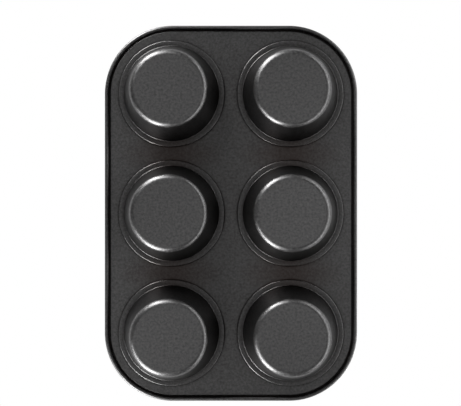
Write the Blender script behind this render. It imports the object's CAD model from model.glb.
# Six-cup muffin pan of coated steel sheet, seen from below as the photograph shows it.
# The deck with its rolled rim, the wire in the rim and the six cups are each modelled here at full
# fineness, in the place of their CAD nodes. Metres, +Z up, cups standing on z = 0.

import math

import bmesh
import bpy
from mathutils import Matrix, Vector


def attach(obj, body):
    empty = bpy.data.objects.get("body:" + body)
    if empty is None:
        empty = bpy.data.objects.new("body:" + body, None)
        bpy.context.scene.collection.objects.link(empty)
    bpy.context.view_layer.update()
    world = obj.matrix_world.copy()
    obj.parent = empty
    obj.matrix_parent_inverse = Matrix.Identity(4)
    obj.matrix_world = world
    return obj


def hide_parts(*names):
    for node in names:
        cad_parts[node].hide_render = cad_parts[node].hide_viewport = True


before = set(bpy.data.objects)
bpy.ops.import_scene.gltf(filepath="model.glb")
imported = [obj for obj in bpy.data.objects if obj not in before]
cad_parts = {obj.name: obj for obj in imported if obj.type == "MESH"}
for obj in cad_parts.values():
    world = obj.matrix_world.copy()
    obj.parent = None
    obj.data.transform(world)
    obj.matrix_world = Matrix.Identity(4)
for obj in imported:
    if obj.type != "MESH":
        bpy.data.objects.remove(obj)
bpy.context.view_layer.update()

MM = 0.001

# Sheet, cup and seam sizes, as in the part
SHEET = 0.4 * MM
CUP_DEPTH = 30 * MM
MOUTH_RADIUS = 34.4 * MM
FLOOR_RADIUS = 23.2 * MM
FLOOR_BEND = 4.6 * MM
FLANGE_BEND = 0.9 * MM
SEAM_PLAY = 0.1 * MM
SEAM_HEM = 2.95 * MM
SEAM_END_PLAY = 0.2 * MM

# Deck and rim sizes, as in the part
PITCH_ACROSS = 87 * MM
PITCH_ALONG = 87.5 * MM
WIDTH = 185 * MM
LENGTH = 275 * MM
CORNER_RADIUS = 50 * MM
RIM_STEP = 1.1 * MM
RIM_FLAT = 2 * MM
WIRE_RADIUS = 1 * MM
WIRE_PLAY = 0.1 * MM
CURL_WRAP = 227

# Levels and radii that follow from them
LAYER = SHEET + SEAM_PLAY
DECK_LEVEL = CUP_DEPTH - SHEET / 2
HOOK_LEVEL = DECK_LEVEL - LAYER
HEM_LEVEL = DECK_LEVEL - 2 * LAYER
FLANGE_LEVEL = DECK_LEVEL - 3 * LAYER
DECK_FOLD = MOUTH_RADIUS + SHEET / 2 + LAYER
HEM_END = DECK_FOLD + SEAM_HEM
CUP_FOLD = HEM_END + SEAM_END_PLAY
HOOK_END = DECK_FOLD + SEAM_END_PLAY
CURL_RADIUS = WIRE_RADIUS + WIRE_PLAY + SHEET / 2
CORNER_X = WIDTH / 2 - CORNER_RADIUS
CORNER_Y = LENGTH / 2 - CORNER_RADIUS
WIRE_X = WIDTH / 2 - CURL_RADIUS - SHEET / 2
WIRE_Z = DECK_LEVEL + RIM_STEP - CURL_RADIUS
WIRE_CORNER = WIRE_X - CORNER_X
STEP_BEND = RIM_STEP / 2
STEP_TOP_X = WIRE_X - RIM_FLAT
STEP_FOOT_X = STEP_TOP_X - RIM_STEP

# Where the cups are
ROWS = (("front", -PITCH_ALONG), ("middle", 0), ("back", PITCH_ALONG))
COLUMNS = (("left", -PITCH_ACROSS / 2), ("right", PITCH_ACROSS / 2))
PLACES = [(f"{row}_{column}", x, y) for row, y in ROWS for column, x in COLUMNS]

# Fineness of the drawn forms
CUP_STEPS = 128
CORNER_STEPS = 112
FLOOR_BEND_STEPS = 14
FLANGE_BEND_STEPS = 8
FOLD_STEPS = 12
RIM_BEND_STEPS = 8
CURL_STEPS = 26
WIRE_SIDES = 20
SMOOTH_DEGREES = 35
LEAD = 0.5 * MM  # straight sheet drawn beside a bend, so that the flat beyond it shades flat
FLANGE_LEAD = 0.3 * MM
WELD = 0.002 * MM
LEVEL_PLAY = 0.01 * MM

# Ripples of the curl's raw edge round each corner of the pan: two waves, which start elsewhere at each corner
RIPPLES = 11
RIPPLE_DEGREES = 14
RIPPLE_START_X = 1.3
RIPPLE_START_Y = 2.1
SECOND_RIPPLE_RATE = 1.6
SECOND_RIPPLE_SHARE = 0.6

# Grain of the coat and of the wire: how fine it is, how it is drawn out, and the range of tones that is used
COAT_GRAIN = 600
COAT_STRETCH = (1, 1, 1)
WIRE_GRAIN = 900
WIRE_STRETCH = (1, 1, 0.2)
GRAIN_LOW = 0.3
GRAIN_HIGH = 0.7

# Colours
WHITE = (1, 1, 1, 1)
BLACK = (0, 0, 0, 1)
COAT_DARK = (0.122, 0.121, 0.1215, 1)
COAT_LIGHT = (0.228, 0.226, 0.227, 1)
COAT_TINT = (0.5, 0.5, 0.5, 1)
HOLLOW = (0.006, 0.001, 0, 1)
BROWN = (0.045, 0.02, 0.012, 1)
STEEL_DARK = (0.23, 0.235, 0.24, 1)
STEEL_LIGHT = (0.31, 0.315, 0.32, 1)
FLOOR_GREY = (0.8, 0.8, 0.8, 1)

# Finish of the coat: within what distance seams and the hollows between cups count as closed in,
# and the reach of the baked-on brown in each web between cups in line, across, along and up
SEAM_DISTANCE = 5 * MM
HOLLOW_DISTANCE = 60 * MM
BROWNED_REACH = (40 * MM, 17 * MM, 6 * MM)
BROWNED_SHARE = 0.45

# Floor, and how far from the pan's middle it runs over into the white of the backdrop
FLOOR_SIZE = 8
FLOOR_GAP = 0.5 * MM
SWEEP_START = 0.3
SWEEP_END = 0.7

# Light of the room from straight below, at 0, to straight above, at 1, and where the lamps aim
ROOM_LEVELS = ((0, 0.02), (0.22, 0.01), (0.4, 0.03), (0.52, 0.5), (0.6, 0.4), (1, 0.6))
BACKDROP_RISE = 0.1  # height above the horizon from which the mirrored backdrop is all white
LAMP_AIM = Vector((0, 0, 10 * MM))

# Camera, below the pan and looking up
CAMERA_PLACE = (-10 * MM, -1 * MM, -560 * MM)
CAMERA_SENSOR = 36
CAMERA_LENS = 62.77
CAMERA_SHIFT_ACROSS = -0.0306
CAMERA_SHIFT_UP = 0.0252


# Modelling by hand

def pick(piece):
    """Selects one piece alone."""
    bpy.ops.object.select_all(action="DESELECT")
    bpy.context.view_layer.objects.active = piece
    piece.select_set(True)


def edit(piece):
    """Opens a piece, alone, for editing its points."""
    pick(piece)
    bpy.ops.object.mode_set(mode="EDIT")
    bpy.ops.mesh.select_mode(type="VERT")


def close():
    """Closes the piece that is open for editing."""
    bpy.ops.object.mode_set(mode="OBJECT")


def rename(piece, name):
    """Names a piece and its mesh."""
    piece.name = name
    piece.data.name = name


def start_line(name, x, y, z):
    """One point, the first of a line drawn along the middle of a sheet, open for editing."""
    bpy.ops.object.select_all(action="DESELECT")
    bpy.ops.mesh.primitive_plane_add(size=SHEET, location=(0, 0, 0))
    piece = bpy.context.active_object
    piece.name = name
    edit(piece)
    bpy.ops.mesh.select_all(action="SELECT")
    bpy.ops.mesh.merge(type="CENTER")
    bpy.ops.transform.translate(value=(x, y, z))
    return piece


def last_point(piece):
    """Place of the one selected point."""
    return next(p.co.copy() for p in bmesh.from_edit_mesh(piece.data).verts if p.select)


def run_to(piece, x, z):
    """Draws the line straight on to a point."""
    here = last_point(piece)
    bpy.ops.mesh.extrude_vertices_move(TRANSFORM_OT_translate={"value": (x - here.x, 0, z - here.z)})


def turn_about(piece, x, z, degrees, steps):
    """Bends the line round a centre, anticlockwise with X to the right and Z up."""
    here = last_point(piece)
    bpy.ops.mesh.spin(steps=steps, angle=math.radians(degrees), center=(x, here.y, z), axis=(0, 1, 0))


def weld():
    """Joins the points that meet, and turns all faces one way."""
    bpy.ops.mesh.select_all(action="SELECT")
    bpy.ops.mesh.remove_doubles(threshold=WELD)
    bpy.ops.mesh.normals_make_consistent(inside=False)


def spin_round():
    """Spins the drawn line right round the upright axis, and closes the piece."""
    bpy.ops.mesh.select_all(action="SELECT")
    bpy.ops.mesh.spin(steps=CUP_STEPS, angle=math.radians(360), center=(0, 0, 0), axis=(0, 0, 1))
    weld()
    close()


def carry_round():
    """Carries the drawn section round the pan: a quarter turn at each corner, then a side."""
    corners = ((CORNER_X, CORNER_Y), (-CORNER_X, CORNER_Y), (-CORNER_X, -CORNER_Y), (CORNER_X, -CORNER_Y))
    bpy.ops.mesh.select_all(action="SELECT")
    for i, (x, y) in enumerate(corners):
        bpy.ops.mesh.spin(steps=CORNER_STEPS, angle=math.radians(-90), center=(x, y, 0), axis=(0, 0, 1))
        next_x, next_y = corners[(i + 1) % len(corners)]
        bpy.ops.mesh.extrude_region_move(TRANSFORM_OT_translate={"value": (next_x - x, next_y - y, 0)})
    weld()


def smooth():
    """Shades the picked piece smooth, apart from its sharp edges."""
    bpy.ops.object.shade_smooth_by_angle(angle=math.radians(SMOOTH_DEGREES))


def thicken(piece):
    """Gives the drawn surface the thickness of the sheet, half to each side."""
    pick(piece)
    bpy.ops.object.modifier_add(type="SOLIDIFY")
    sheet = piece.modifiers[-1]
    sheet.thickness = SHEET
    sheet.offset = 0
    sheet.use_even_offset = True
    sheet.use_quality_normals = True
    bpy.ops.object.modifier_apply(modifier=sheet.name)
    smooth()


def copy_to(piece, name, x, y):
    """A copy with its own mesh, moved in its mesh so that the object stays at the origin."""
    pick(piece)
    bpy.ops.object.duplicate(linked=False)
    copy = bpy.context.active_object
    rename(copy, name)
    copy.location = (x, y, 0)
    bpy.ops.object.transform_apply(location=True, rotation=False, scale=False)
    return copy


# Pieces

def draw_cup():
    """Cup: floor, wall, flange and hook drawn as one line and spun round the cup's axis."""
    reach_x = MOUTH_RADIUS + SHEET / 2 - FLOOR_RADIUS
    reach_z = FLANGE_LEVEL - SHEET / 2 - FLOOR_BEND
    lean = math.acos(FLOOR_BEND / math.hypot(reach_x, reach_z)) - math.atan2(reach_z, reach_x)
    bend_degrees = 90 - math.degrees(lean)
    flange_run = FLANGE_BEND * math.tan(math.radians(bend_degrees / 2))
    corner_x = MOUTH_RADIUS + SHEET / 2
    cup = start_line("cup_pattern", 0, 0, SHEET / 2)
    run_to(cup, FLOOR_RADIUS - LEAD, SHEET / 2)
    run_to(cup, FLOOR_RADIUS, SHEET / 2)
    turn_about(cup, FLOOR_RADIUS, SHEET / 2 + FLOOR_BEND, bend_degrees, FLOOR_BEND_STEPS)
    run_to(cup, corner_x - flange_run * math.sin(lean), FLANGE_LEVEL - flange_run * math.cos(lean))
    turn_about(cup, corner_x + flange_run, FLANGE_LEVEL - FLANGE_BEND, -bend_degrees, FLANGE_BEND_STEPS)
    run_to(cup, corner_x + flange_run + FLANGE_LEAD, FLANGE_LEVEL)
    run_to(cup, CUP_FOLD - FLANGE_LEAD, FLANGE_LEVEL)
    run_to(cup, CUP_FOLD, FLANGE_LEVEL)
    turn_about(cup, CUP_FOLD, HEM_LEVEL, 180, FOLD_STEPS)
    run_to(cup, HOOK_END, HOOK_LEVEL)
    spin_round()
    thicken(cup)
    return cup


def draw_opening():
    """Folded edge of one opening of the deck, spun round the opening's axis."""
    ring = start_line("opening_pattern", DECK_FOLD + LEAD, 0, DECK_LEVEL)
    run_to(ring, DECK_FOLD, DECK_LEVEL)
    turn_about(ring, DECK_FOLD, HOOK_LEVEL, 180, FOLD_STEPS)
    run_to(ring, HEM_END, HEM_LEVEL)
    spin_round()
    return ring


def ripple_edge(rim):
    """Ripples the raw edge of the curl round the corners, where rolling gathers the sheet."""
    mesh = bmesh.from_edit_mesh(rim.data)
    for p in mesh.verts:
        out_x = abs(p.co.x) - CORNER_X
        out_y = abs(p.co.y) - CORNER_Y
        reach = math.hypot(out_x, out_y)
        round_wire = math.atan2(p.co.z - WIRE_Z, reach - WIRE_CORNER)
        past_bottom = -90 - math.degrees(round_wire)
        if min(out_x, out_y) <= 0 or past_bottom <= 0:
            continue
        round_corner = math.atan2(out_y, out_x)
        start = math.copysign(RIPPLE_START_X, p.co.x) + math.copysign(RIPPLE_START_Y, p.co.y)
        turn = 4 * RIPPLES * round_corner
        second = SECOND_RIPPLE_SHARE * math.sin(SECOND_RIPPLE_RATE * turn + 2 * start)
        wave = math.sin(turn + start) + second
        share = past_bottom / (CURL_WRAP - 180) * math.sin(2 * round_corner)
        round_wire += math.radians(RIPPLE_DEGREES * share * wave)
        grown = (WIRE_CORNER + CURL_RADIUS * math.cos(round_wire)) / reach
        p.co.x = math.copysign(CORNER_X + out_x * grown, p.co.x)
        p.co.y = math.copysign(CORNER_Y + out_y * grown, p.co.y)
        p.co.z = WIRE_Z + CURL_RADIUS * math.sin(round_wire)
    bmesh.update_edit_mesh(rim.data)


def draw_rim():
    """Rolled rim: the deck's edge, its step and its curl drawn as one line and carried round the pan."""
    rim = start_line("rim", STEP_FOOT_X - LEAD, CORNER_Y, DECK_LEVEL)
    run_to(rim, STEP_FOOT_X, DECK_LEVEL)
    turn_about(rim, STEP_FOOT_X, DECK_LEVEL + STEP_BEND, 90, RIM_BEND_STEPS)
    turn_about(rim, STEP_TOP_X, DECK_LEVEL + STEP_BEND, -90, RIM_BEND_STEPS)
    run_to(rim, WIRE_X, DECK_LEVEL + RIM_STEP)
    turn_about(rim, WIRE_X, WIRE_Z, -CURL_WRAP, CURL_STEPS)
    carry_round()
    ripple_edge(rim)
    close()
    return rim


def draw_deck():
    """Deck: rim and openings joined into one sheet, and the flat between them filled."""
    deck = draw_rim()
    pattern = draw_opening()
    openings = [copy_to(pattern, f"opening_{place}", x, y) for place, x, y in PLACES]
    bpy.data.objects.remove(pattern)
    pick(deck)
    for opening in openings:
        opening.select_set(True)
    bpy.ops.object.join()
    rename(deck, "coated_deck")
    edit(deck)
    bpy.ops.mesh.select_mode(type="EDGE")
    bpy.ops.mesh.select_all(action="DESELECT")
    mesh = bmesh.from_edit_mesh(deck.data)
    for line in mesh.edges:
        level = all(abs(p.co.z - DECK_LEVEL) < LEVEL_PLAY for p in line.verts)
        line.select_set(line.is_boundary and level)
    bmesh.update_edit_mesh(deck.data)
    bpy.ops.mesh.fill(use_beauty=True)
    weld()
    close()
    thicken(deck)
    return deck


def draw_wire():
    """Hoop of wire inside the curl."""
    bpy.ops.object.select_all(action="DESELECT")
    bpy.ops.mesh.primitive_circle_add(
        vertices=WIRE_SIDES,
        radius=WIRE_RADIUS,
        location=(WIRE_X, CORNER_Y, WIRE_Z),
        rotation=(math.radians(90), 0, 0),
    )
    wire = bpy.context.active_object
    rename(wire, "rim_hoop")
    bpy.ops.object.transform_apply(location=True, rotation=True, scale=True)
    edit(wire)
    carry_round()
    close()
    smooth()
    return wire


deck = draw_deck()
wire = draw_wire()
cup_pattern = draw_cup()
cups = [(f"cup_{place}", copy_to(cup_pattern, f"coated_cup_{place}", x, y)) for place, x, y in PLACES]
bpy.data.objects.remove(cup_pattern)


# Nodes

def feed(tree, socket, value):
    """Sets a socket to a constant, or links it to another node's output."""
    if isinstance(value, bpy.types.NodeSocket):
        tree.links.new(value, socket)
    else:
        socket.default_value = value


def ranged(tree, value, low, high, new_low, new_high):
    """A value carried from one range to another, held at its ends."""
    node = tree.nodes.new("ShaderNodeMapRange")
    feed(tree, node.inputs["Value"], value)
    feed(tree, node.inputs["From Min"], low)
    feed(tree, node.inputs["From Max"], high)
    feed(tree, node.inputs["To Min"], new_low)
    feed(tree, node.inputs["To Max"], new_high)
    return node.outputs["Result"]


def combine(tree, operation, first, second):
    """One value from two."""
    node = tree.nodes.new("ShaderNodeMath")
    node.operation = operation
    feed(tree, node.inputs[0], first)
    feed(tree, node.inputs[1], second)
    return node.outputs["Value"]


def change(tree, operation, vector, by=(0, 0, 0)):
    """A vector changed, by another one where the operation takes two."""
    node = tree.nodes.new("ShaderNodeVectorMath")
    node.operation = operation
    feed(tree, node.inputs[0], vector)
    feed(tree, node.inputs[1], by)
    return node.outputs["Vector"]


def length_of(tree, vector):
    """Length of a vector."""
    node = tree.nodes.new("ShaderNodeVectorMath")
    node.operation = "LENGTH"
    feed(tree, node.inputs[0], vector)
    return node.outputs["Value"]


def height_of(tree, vector):
    """Upward share of a vector."""
    node = tree.nodes.new("ShaderNodeSeparateXYZ")
    feed(tree, node.inputs["Vector"], vector)
    return node.outputs["Z"]


def blend(tree, share, first, second):
    """A colour between two others."""
    node = tree.nodes.new("ShaderNodeMix")
    node.data_type = "RGBA"
    feed(tree, node.inputs[0], share)
    feed(tree, node.inputs[6], first)
    feed(tree, node.inputs[7], second)
    return node.outputs[2]


def blend_shaders(tree, share, first, second):
    """A surface, or a background, between two others."""
    node = tree.nodes.new("ShaderNodeMixShader")
    feed(tree, node.inputs["Fac"], share)
    feed(tree, node.inputs[1], first)
    feed(tree, node.inputs[2], second)
    return node.outputs["Shader"]


# Materials

def new_material(name):
    """A material, its node tree and its main shader."""
    material = bpy.data.materials.new(name)
    material.use_nodes = True
    return material, material.node_tree, material.node_tree.nodes["Principled BSDF"]


def grain_group():
    """Fine mottle of a sprayed or drawn surface, from 0 to 1, on Object coordinates."""
    group = bpy.data.node_groups.new("surface_grain", "ShaderNodeTree")
    group.interface.new_socket("Scale", in_out="INPUT", socket_type="NodeSocketFloat")
    group.interface.new_socket("Stretch", in_out="INPUT", socket_type="NodeSocketVector")
    group.interface.new_socket("Tone", in_out="OUTPUT", socket_type="NodeSocketFloat")
    start = group.nodes.new("NodeGroupInput")
    end = group.nodes.new("NodeGroupOutput")
    place = group.nodes.new("ShaderNodeTexCoord")
    mottle = group.nodes.new("ShaderNodeTexNoise")
    stretched = change(group, "MULTIPLY", place.outputs["Object"], start.outputs["Stretch"])
    feed(group, mottle.inputs["Vector"], stretched)
    feed(group, mottle.inputs["Scale"], start.outputs["Scale"])
    feed(group, mottle.inputs["Detail"], 3)
    feed(group, mottle.inputs["Roughness"], 0.7)
    feed(group, end.inputs["Tone"], mottle.outputs["Fac"])
    return group


def add_grain(tree, group, scale, stretch):
    """Tone of the grain at a fineness, drawn out along one axis or even."""
    node = tree.nodes.new("ShaderNodeGroup")
    node.node_tree = group
    feed(tree, node.inputs["Scale"], scale)
    feed(tree, node.inputs["Stretch"], stretch)
    return node.outputs["Tone"]


def openness(tree, distance):
    """How open a place is within a distance, from 0 in a crevice to 1 on a free face."""
    node = tree.nodes.new("ShaderNodeAmbientOcclusion")
    node.samples = 16
    feed(tree, node.inputs["Distance"], distance)
    return node.outputs["AO"]


def browned_web(tree):
    """Share of baked-on brown under the deck, most in the middle of each web between cups in line."""
    place = tree.nodes.new("ShaderNodeTexCoord")
    folded = change(tree, "ABSOLUTE", place.outputs["Object"])
    middle = (PITCH_ACROSS / 2, PITCH_ALONG / 2, DECK_LEVEL)
    from_middle = change(tree, "SUBTRACT", folded, middle)
    reach = length_of(tree, change(tree, "DIVIDE", from_middle, BROWNED_REACH))
    near = ranged(tree, reach, 0.2, 1, BROWNED_SHARE, 0)
    under = ranged(tree, height_of(tree, place.outputs["Normal"]), -0.9, -0.5, 1, 0)
    return combine(tree, "MULTIPLY", near, under)


def coat_material(grain):
    """Satin charcoal coat, mottled, darker in the seams and between the cups, and browned in the webs."""
    coat, tree, shader = new_material("nonstick_coat")
    mottle = add_grain(tree, grain, COAT_GRAIN, COAT_STRETCH)
    tone = ranged(tree, mottle, GRAIN_LOW, GRAIN_HIGH, 0, 1)
    film = blend(tree, tone, COAT_DARK, COAT_LIGHT)
    seam = ranged(tree, openness(tree, SEAM_DISTANCE), 0.35, 0.95, 0.1, 1)
    film = blend(tree, seam, BLACK, film)
    film = blend(tree, openness(tree, HOLLOW_DISTANCE), HOLLOW, film)
    film = blend(tree, browned_web(tree), film, BROWN)
    feed(tree, shader.inputs["Base Color"], film)
    feed(tree, shader.inputs["Roughness"], ranged(tree, mottle, GRAIN_LOW, GRAIN_HIGH, 0.35, 0.39))
    feed(tree, shader.inputs["Metallic"], 1)
    feed(tree, shader.inputs["Specular Tint"], COAT_TINT)
    return coat


def wire_material(grain):
    """Bare drawn steel, with faint streaks."""
    steel, tree, shader = new_material("wire_steel")
    streak = add_grain(tree, grain, WIRE_GRAIN, WIRE_STRETCH)
    feed(tree, shader.inputs["Base Color"], blend(tree, streak, STEEL_DARK, STEEL_LIGHT))
    feed(tree, shader.inputs["Roughness"], ranged(tree, streak, GRAIN_LOW, GRAIN_HIGH, 0.35, 0.45))
    feed(tree, shader.inputs["Metallic"], 1)
    return steel


grain = grain_group()
coat = coat_material(grain)
steel = wire_material(grain)

deck.data.materials.append(coat)
wire.data.materials.append(steel)
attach(deck, "root")
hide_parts("deck_sheet")
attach(wire, "root")
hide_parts("rim_wire")
for node, cup in cups:
    cup.data.materials.append(coat)
    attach(cup, "root")
    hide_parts(node)


# Floor

def floor_material():
    """Pale paint that shows the pan's shadow, goes over to white far off, and is clear from below."""
    paint, tree, shader = new_material("floor_paint")
    feed(tree, shader.inputs["Base Color"], FLOOR_GREY)
    feed(tree, shader.inputs["Roughness"], 0.9)
    place = tree.nodes.new("ShaderNodeTexCoord")
    path = tree.nodes.new("ShaderNodeLightPath")
    side = tree.nodes.new("ShaderNodeNewGeometry")
    white = tree.nodes.new("ShaderNodeEmission")
    clear = tree.nodes.new("ShaderNodeBsdfTransparent")
    feed(tree, white.inputs["Color"], WHITE)
    far = ranged(tree, length_of(tree, place.outputs["Object"]), SWEEP_START, SWEEP_END, 0, 1)
    seen = combine(tree, "MULTIPLY", far, path.outputs["Is Camera Ray"])
    sweep = blend_shaders(tree, seen, shader.outputs["BSDF"], white.outputs["Emission"])
    one_way = blend_shaders(tree, side.outputs["Backfacing"], sweep, clear.outputs["BSDF"])
    feed(tree, tree.nodes["Material Output"].inputs["Surface"], one_way)
    return paint


bpy.ops.object.select_all(action="DESELECT")
bpy.ops.mesh.primitive_plane_add(size=FLOOR_SIZE, location=(0, 0, -FLOOR_GAP))
floor = bpy.context.active_object
floor.name = "studio_floor"
floor.visible_shadow = False
floor.visible_diffuse = False
floor.visible_glossy = False
floor.visible_transmission = False
floor.data.materials.append(floor_material())


# Lamps

def softbox(name, place, width, height, watts):
    """Rectangular lamp that faces the middle of the pan and stays out of the picture."""
    data = bpy.data.lights.new(name, "AREA")
    data.shape = "RECTANGLE"
    data.size = width
    data.size_y = height
    data.energy = watts
    lamp = bpy.data.objects.new(name, data)
    lamp.location = place
    lamp.rotation_euler = (LAMP_AIM - Vector(place)).to_track_quat("-Z", "Y").to_euler()
    lamp.visible_camera = False
    bpy.context.scene.collection.objects.link(lamp)


def lamp_below(name, bearing, height, distance, width, length, level):
    """Lamp below the deck: its bearing in the picture and its height, in degrees, and its brightness."""
    turn = math.radians(bearing)
    rise = math.radians(height)
    place = (
        -math.cos(turn) * math.cos(rise) * distance,
        math.sin(turn) * math.cos(rise) * distance,
        -math.sin(rise) * distance,
    )
    softbox(name, place, width, length, level * math.pi * width * length)


# On the left, two upright rows and a lamp between them, mirrored as bright arcs in the cups' floor bends
lamp_below("below_upper_left_low", 120, 6, 1.3, 0.365, 0.365, 16)
lamp_below("below_upper_left", 119, 20, 1.3, 0.4, 0.365, 14)
lamp_below("below_upper_left_high", 120, 35, 1.3, 0.365, 0.365, 11)
lamp_below("below_lower_left_low", 238, 6, 1.3, 0.365, 0.365, 20)
lamp_below("below_lower_left", 240, 20, 1.3, 0.365, 0.365, 15)
lamp_below("below_lower_left_high", 240, 35, 1.3, 0.365, 0.365, 6.5)
lamp_below("below_lower_left_side", 217, 20, 1.3, 0.365, 0.365, 8)

# A wide soft band on the right
lamp_below("below_right", 0, 20, 1, 0.75, 0.3, 2.2)
lamp_below("below_right_upper", 41, 20, 1, 0.75, 0.3, 2.9)
lamp_below("below_right_lower", 319, 20, 1, 0.75, 0.3, 2.8)
lamp_below("below_right_high", 0, 37, 1, 1.1, 0.28, 0.75)

# Faint light from the front, for the cup floors and the deck
lamp_below("below_front", 0, 81, 1, 0.32, 0.5, 0.36)
lamp_below("below_front_upper_right", 45, 70, 1, 0.32, 0.32, 0.46)
lamp_below("below_front_upper_left", 135, 70, 1, 0.32, 0.32, 0.38)
lamp_below("below_front_lower_left", 225, 70, 1, 0.32, 0.32, 0.56)
lamp_below("below_front_lower_right", 315, 70, 1, 0.32, 0.32, 0.47)

# The top side and the floor
softbox("above_left", (-0.55, -0.45, 1.3), 0.7, 0.7, 26)
softbox("above_right", (0.5, 0.5, 1.3), 0.7, 0.7, 14)


# World

def add_background(tree, colour):
    """A background of one colour, or of the colour that a node puts out."""
    node = tree.nodes.new("ShaderNodeBackground")
    feed(tree, node.inputs["Color"], colour)
    return node.outputs["Background"]


def add_room(tree, height):
    """Light of the room, which changes with height."""
    node = tree.nodes.new("ShaderNodeValToRGB")
    stops = node.color_ramp.elements
    for place, level in ROOM_LEVELS[1:-1]:
        stops.new(place)
    for stop, (place, level) in zip(stops, ROOM_LEVELS):
        stop.color = (level, level, level, 1)
    feed(tree, node.inputs["Fac"], ranged(tree, height, -1, 1, 0, 1))
    return add_background(tree, node.outputs["Color"])


def light_world():
    """The room, and a white backdrop in its place for the camera and for what is mirrored from above."""
    world = bpy.context.scene.world or bpy.data.worlds.new("studio")
    bpy.context.scene.world = world
    world.use_nodes = True
    tree = world.node_tree
    tree.nodes.clear()
    out = tree.nodes.new("ShaderNodeOutputWorld")
    path = tree.nodes.new("ShaderNodeLightPath")
    direction = tree.nodes.new("ShaderNodeTexCoord")
    height = height_of(tree, direction.outputs["Generated"])
    above = ranged(tree, height, 0, BACKDROP_RISE, 0, 1)
    mirrored = combine(tree, "MAXIMUM", path.outputs["Is Glossy Ray"], path.outputs["Is Transmission Ray"])
    mirrored_above = combine(tree, "MULTIPLY", mirrored, above)
    backdrop = combine(tree, "MAXIMUM", path.outputs["Is Camera Ray"], mirrored_above)
    seen = blend_shaders(tree, backdrop, add_room(tree, height), add_background(tree, WHITE))
    feed(tree, out.inputs["Surface"], seen)


light_world()


# Camera

camera_data = bpy.data.cameras.new("camera")
camera_data.sensor_width = CAMERA_SENSOR
camera_data.lens = CAMERA_LENS
camera_data.shift_x = CAMERA_SHIFT_ACROSS
camera_data.shift_y = CAMERA_SHIFT_UP
camera = bpy.data.objects.new("camera", camera_data)
camera.location = CAMERA_PLACE
camera.rotation_euler = (0, math.radians(180), 0)
bpy.context.scene.collection.objects.link(camera)
bpy.context.scene.camera = camera
bpy.context.scene.view_settings.view_transform = "Standard"
